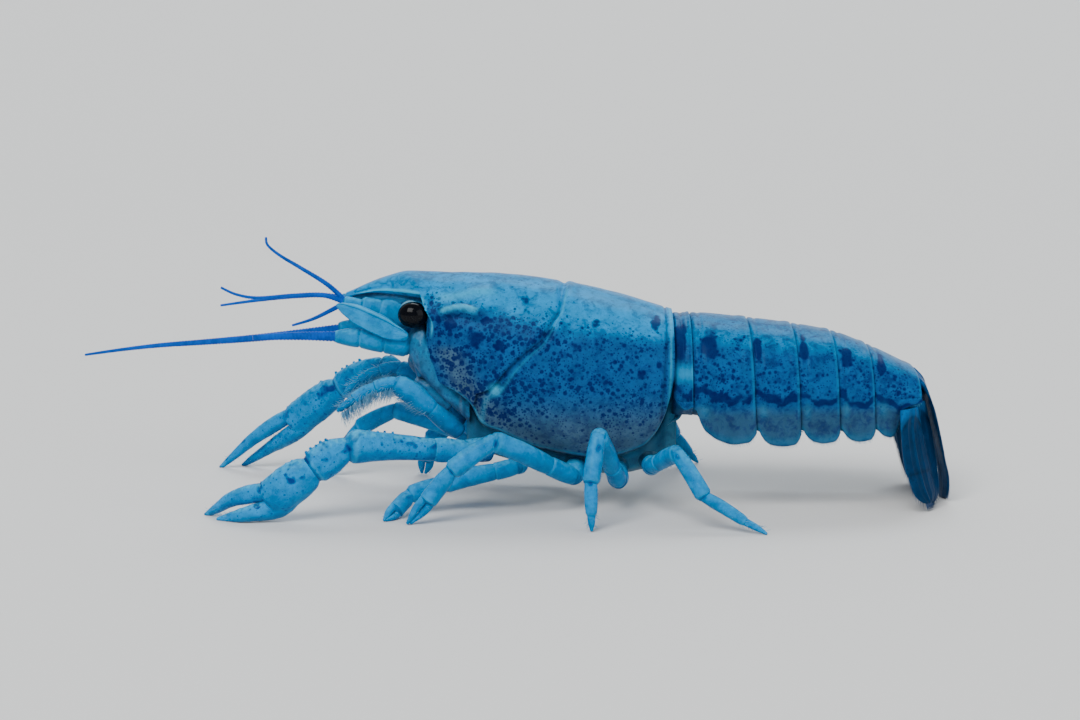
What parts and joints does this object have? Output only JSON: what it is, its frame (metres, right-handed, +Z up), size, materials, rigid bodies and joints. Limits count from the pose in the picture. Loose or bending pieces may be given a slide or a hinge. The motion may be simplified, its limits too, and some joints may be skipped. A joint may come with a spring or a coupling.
{
  "type": "blue everglades crayfish figure",
  "caption": "Life-size blue crayfish standing with its claws let down to the floor and its tail fan folded under, whole from feeler tip to tail.",
  "frame": {"origin": "on the floor, under the middle of the whole animal's bounding box", "axes": "+X along the body towards the tail (the head points along -X), +Y to the animal's right side, +Z up from the floor"},
  "size_m": [0.108, 0.0395, 0.0326],
  "materials": {
    "shell_blue": "glossy hard shell, azure on the back with navy speckles and steel-blue flanks",
    "claw_blue": "glossy azure shell with deep blue patches",
    "leg_blue": "thin bright azure shell, paler beneath",
    "pale_under": "soft pale grey-blue shell and membrane",
    "eye_black": "glossy black",
    "feeler_blue": "deep blue ringed threads",
    "tail_fan_blue": "dark navy blades with an azure upper edge"
  },
  "bodies": {
    "root": {"shield": "shell_blue", "tail_1": "shell_blue", "tail_2": "shell_blue", "tail_3": "shell_blue", "tail_4": "shell_blue", "tail_5": "shell_blue", "tail_6": "shell_blue", "telson": "tail_fan_blue", "fan_inner_l": "tail_fan_blue", "fan_inner_r": "tail_fan_blue", "fan_outer_l": "tail_fan_blue", "fan_outer_r": "tail_fan_blue", "underside": "pale_under", "mouth": "pale_under", "eye_l": "eye_black", "eye_r": "eye_black", "eyestalk_l": "pale_under", "eyestalk_r": "pale_under", "small_feeler_l": "feeler_blue", "small_feeler_r": "feeler_blue", "feeler_base_l": "claw_blue", "feeler_base_r": "claw_blue", "feeler_l": "feeler_blue", "feeler_r_1": "feeler_blue", "feeler_r_2": "feeler_blue", "feeler_scale_l": "claw_blue", "feeler_scale_r": "claw_blue", "mouth_leg_upper_l": "leg_blue", "mouth_leg_upper_r": "leg_blue", "mouth_leg_lower_l": "leg_blue", "mouth_leg_lower_r": "leg_blue", "claw_arm_l": "claw_blue", "claw_arm_r": "claw_blue", "claw_wrist_l": "claw_blue", "claw_wrist_r": "claw_blue", "claw_palm_l": "claw_blue", "claw_palm_r": "claw_blue", "claw_finger_l": "claw_blue", "claw_finger_r": "claw_blue", "leg1_upper_l": "leg_blue", "leg1_lower_l": "leg_blue", "leg2_upper_l": "leg_blue", "leg2_lower_l": "leg_blue", "leg3_upper_l": "leg_blue", "leg3_lower_l": "leg_blue", "leg4_upper_l": "leg_blue", "leg4_lower_l": "leg_blue", "leg1_upper_r": "leg_blue", "leg1_lower_r": "leg_blue", "leg2_upper_r": "leg_blue", "leg2_lower_r": "leg_blue", "leg3_upper_r": "leg_blue", "leg3_lower_r": "leg_blue", "leg4_upper_r": "leg_blue", "leg4_lower_r": "leg_blue"}
  },
  "joints": []
}
